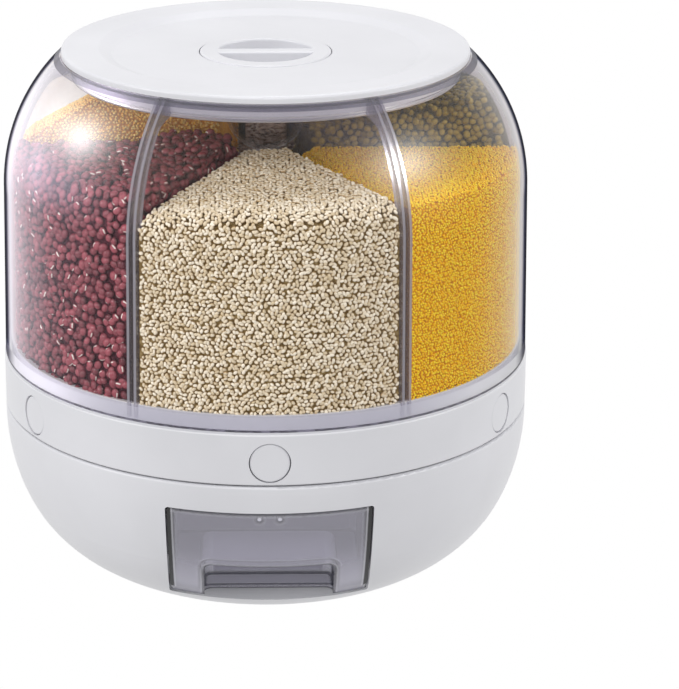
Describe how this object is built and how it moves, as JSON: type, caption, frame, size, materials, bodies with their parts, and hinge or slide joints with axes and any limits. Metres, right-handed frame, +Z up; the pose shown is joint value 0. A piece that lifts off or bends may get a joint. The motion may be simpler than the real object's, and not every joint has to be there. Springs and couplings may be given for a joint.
{
  "type": "rotating grain dispenser",
  "caption": "Clear domed grain jar with wedge compartments on a turntable; buttons in its collar open gates that drop grain through a chute into a smoke-clear drawer in the bowl base.",
  "frame": {"origin": "on the table, under the turntable's axis, at the middle of the four rubber feet", "axes": "+Z up along the turntable's axis, -Y out of the drawer's front, +X to the right seen from the front"},
  "size_m": [0.2488, 0.2488, 0.259],
  "materials": {
    "white_plastic": "satin moulded white plastic",
    "clear_plastic": "polished clear plastic",
    "smoke_plastic": "polished smoke-grey clear plastic",
    "steel": "plain bright steel",
    "nylon": "natural nylon",
    "silicone": "translucent silicone",
    "rubber": "soft black rubber"
  },
  "bodies": {
    "base": {"base_shell": "white_plastic", "rubber_feet": "rubber", "base_deck": "white_plastic", "deck_screws": "steel", "outlet_chute": "white_plastic", "drawer_rail_left": "white_plastic", "drawer_rail_right": "white_plastic", "pivot_spindle": "steel", "spindle_screw": "steel", "retaining_washer": "steel", "retaining_screw": "steel"},
    "ball_race": {"ball_cage": "nylon", "bearing_balls": "steel"},
    "turntable": {"turntable_tray": "white_plastic", "hopper_cone": "white_plastic", "gate_cover": "white_plastic", "cover_screws": "steel", "jar_shell": "clear_plastic", "jar_seal": "silicone", "hub_post": "clear_plastic", "divider_1": "clear_plastic", "divider_2": "clear_plastic", "divider_3": "clear_plastic", "divider_4": "clear_plastic", "divider_5": "clear_plastic", "divider_6": "clear_plastic", "gate_spring_1": "steel", "gate_spring_2": "steel", "gate_spring_3": "steel", "gate_spring_4": "steel", "gate_spring_5": "steel", "gate_spring_6": "steel"},
    "lid": {"lid_disc": "white_plastic", "lid_seal": "silicone", "moisture_cup": "clear_plastic"},
    "knob": {"lid_knob": "white_plastic", "knob_seal": "silicone"},
    "drawer": {"drawer_bin": "smoke_plastic"},
    "gate_1": {"button_1": "white_plastic", "gate_slide_1": "white_plastic"},
    "gate_2": {"button_2": "white_plastic", "gate_slide_2": "white_plastic"},
    "gate_3": {"button_3": "white_plastic", "gate_slide_3": "white_plastic"},
    "gate_4": {"button_4": "white_plastic", "gate_slide_4": "white_plastic"},
    "gate_5": {"button_5": "white_plastic", "gate_slide_5": "white_plastic"},
    "gate_6": {"button_6": "white_plastic", "gate_slide_6": "white_plastic"}
  },
  "joints": [
    {"name": "turntable_spin", "type": "hinge", "parent": "base", "child": "turntable", "pos_m": [0, 0, 0.11], "axis": [0, 0, 1], "continuous": true},
    {"name": "ball_race_spin", "type": "hinge", "parent": "base", "child": "ball_race", "pos_m": [0, 0, 0.1], "axis": [0, 0, 1], "continuous": true},
    {"name": "lid_lift", "type": "slide", "parent": "turntable", "child": "lid", "axis": [0, 0, 1], "range_m": [0, 0.06]},
    {"name": "knob_turn", "type": "hinge", "parent": "lid", "child": "knob", "pos_m": [0, 0, 0.255], "axis": [0, 0, 1], "range_deg": [0, 90]},
    {"name": "drawer_slide", "type": "slide", "parent": "base", "child": "drawer", "axis": [0, -1, 0], "range_m": [0, 0.075]},
    {"name": "button_press_1", "type": "slide", "parent": "turntable", "child": "gate_1", "axis": [0, 1, 0], "range_m": [0, 0.01], "stiffness_N_per_m": 300, "springref_m": -0.004, "deforming": ["gate_spring_1"]},
    {"name": "button_press_2", "type": "slide", "parent": "turntable", "child": "gate_2", "axis": [-0.866, 0.5, 0], "range_m": [0, 0.01], "stiffness_N_per_m": 300, "springref_m": -0.004, "deforming": ["gate_spring_2"]},
    {"name": "button_press_3", "type": "slide", "parent": "turntable", "child": "gate_3", "axis": [-0.866, -0.5, 0], "range_m": [0, 0.01], "stiffness_N_per_m": 300, "springref_m": -0.004, "deforming": ["gate_spring_3"]},
    {"name": "button_press_4", "type": "slide", "parent": "turntable", "child": "gate_4", "axis": [0, -1, 0], "range_m": [0, 0.01], "stiffness_N_per_m": 300, "springref_m": -0.004, "deforming": ["gate_spring_4"]},
    {"name": "button_press_5", "type": "slide", "parent": "turntable", "child": "gate_5", "axis": [0.866, -0.5, 0], "range_m": [0, 0.01], "stiffness_N_per_m": 300, "springref_m": -0.004, "deforming": ["gate_spring_5"]},
    {"name": "button_press_6", "type": "slide", "parent": "turntable", "child": "gate_6", "axis": [0.866, 0.5, 0], "range_m": [0, 0.01], "stiffness_N_per_m": 300, "springref_m": -0.004, "deforming": ["gate_spring_6"]}
  ],
  "couplings": [
    {"joint": "ball_race_spin", "follows": "turntable_spin", "ratio": 0.5}
  ]
}
